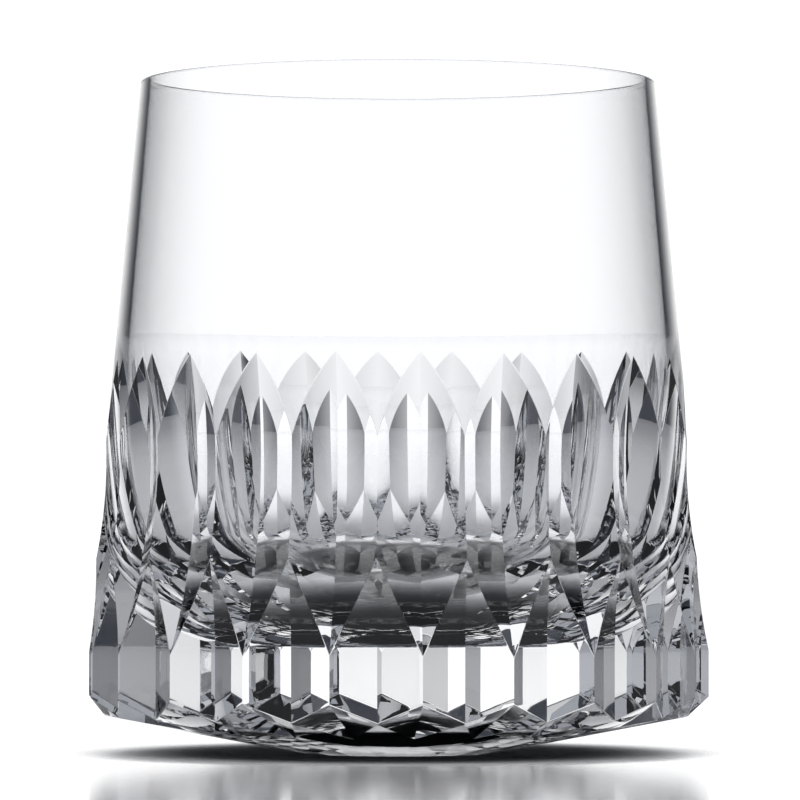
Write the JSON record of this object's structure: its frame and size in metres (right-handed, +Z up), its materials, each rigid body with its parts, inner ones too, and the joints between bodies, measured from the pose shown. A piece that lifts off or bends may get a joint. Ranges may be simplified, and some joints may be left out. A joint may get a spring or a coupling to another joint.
{
  "type": "whiskey tumbler",
  "caption": "Heavy-based cut crystal tumbler: plain flared wall, round-cornered bowl, a ring of upright pointed cuts over fluted facets, and a faceted base on a small flat foot.",
  "frame": {"origin": "centre of the flat foot, at the height of the surface the tumbler stands on", "axes": "+Z up the tumbler's axis from foot to rim; +X through the middle of one leaf cut"},
  "size_m": [0.0924, 0.0916, 0.1],
  "materials": {
    "crystal": "clear lead crystal, flat polished rim, smooth bowl, polished wheel cuts"
  },
  "bodies": {
    "root": {"tumbler": "crystal"}
  },
  "joints": []
}
